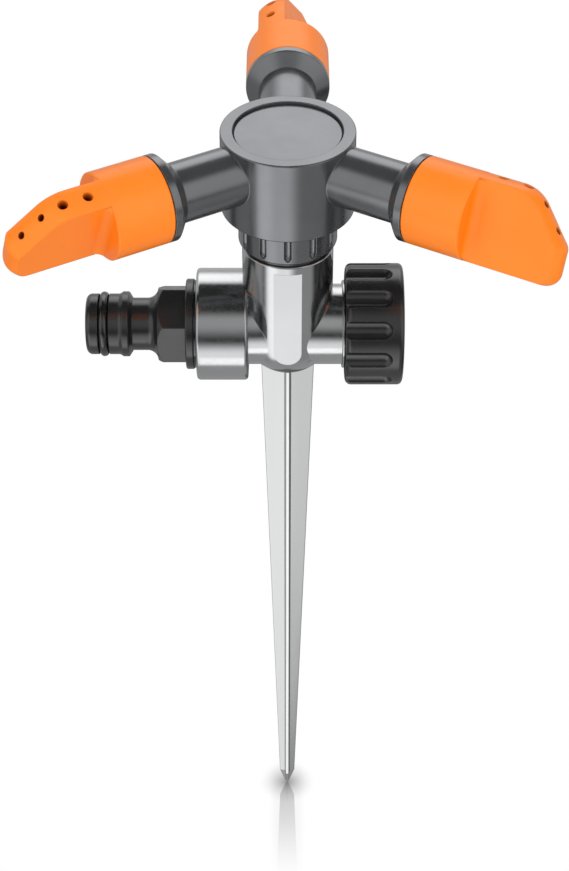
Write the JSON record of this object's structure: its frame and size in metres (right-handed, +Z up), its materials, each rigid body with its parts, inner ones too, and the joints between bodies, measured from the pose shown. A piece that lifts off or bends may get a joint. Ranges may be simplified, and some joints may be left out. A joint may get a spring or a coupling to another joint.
{
  "type": "rotary sprinkler",
  "caption": "Lawn sprinkler with a spinning hub, hollow arms and swivelling outlet heads on a flow-through metal body with a ground spike.",
  "frame": {"origin": "the spike's tip, on the rotor's axis", "axes": "+Z up along the rotor's axis, -X along the hose inlet, +X along the capped outlet, -Y is the front with the flat facet"},
  "size_m": [0.1325, 0.1175, 0.2415],
  "materials": {
    "bright_zinc": "nickel-chromed zinc casting, softly polished",
    "satin_zinc": "satin bead-blasted zinc casting",
    "grey_plastic": "satin moulded plastic",
    "orange_plastic": "fine-textured moulded plastic",
    "black_plastic": "semi-gloss moulded plastic",
    "black_rubber": "moulded nitrile rubber",
    "white_plastic": "natural acetal"
  },
  "bodies": {
    "base": {"ground_spike": "satin_zinc", "valve_body": "bright_zinc", "hose_adaptor": "black_plastic", "adaptor_seal": "black_rubber", "inlet_washer": "black_rubber", "retaining_nut": "grey_plastic", "nut_gasket": "black_rubber", "upper_thrust_washer": "white_plastic", "lower_thrust_washer": "white_plastic"},
    "rotor": {"rotor_hub": "grey_plastic", "hub_cover": "grey_plastic", "rotor_spindle": "white_plastic", "spindle_seal": "black_rubber", "nozzle_seal_rear": "black_rubber", "nozzle_seal_left": "black_rubber", "nozzle_seal_right": "black_rubber"},
    "head_rear": {"nozzle_head_rear": "orange_plastic"},
    "head_left": {"nozzle_head_left": "orange_plastic"},
    "head_right": {"nozzle_head_right": "orange_plastic"},
    "cap_travel": {"cap_washer": "black_rubber"},
    "cap": {"end_cap": "black_plastic"}
  },
  "joints": [
    {"name": "rotor_spin", "type": "hinge", "parent": "base", "child": "rotor", "pos_m": [0, 0, 0.23065], "axis": [0, 0, 1], "continuous": true},
    {"name": "head_swivel_rear", "type": "hinge", "parent": "rotor", "child": "head_rear", "pos_m": [0, 0.0365, 0.23065], "axis": [0, 1, 0], "continuous": true},
    {"name": "head_swivel_left", "type": "hinge", "parent": "rotor", "child": "head_left", "pos_m": [-0.03161, -0.01825, 0.23065], "axis": [-0.866, -0.5, 0], "continuous": true},
    {"name": "head_swivel_right", "type": "hinge", "parent": "rotor", "child": "head_right", "pos_m": [0.03161, -0.01825, 0.23065], "axis": [0.866, -0.5, 0], "continuous": true},
    {"name": "cap_travel", "type": "slide", "parent": "base", "child": "cap_travel", "axis": [1, 0, 0], "range_m": [0, 0.009]},
    {"name": "cap_turn", "type": "hinge", "parent": "cap_travel", "child": "cap", "pos_m": [0.0149, 0, 0.1803], "axis": [1, 0, 0], "range_deg": [-1, 1791.1]}
  ],
  "couplings": [
    {"joint": "cap_turn", "follows": "cap_travel", "rad_per_m": 3463.7}
  ]
}
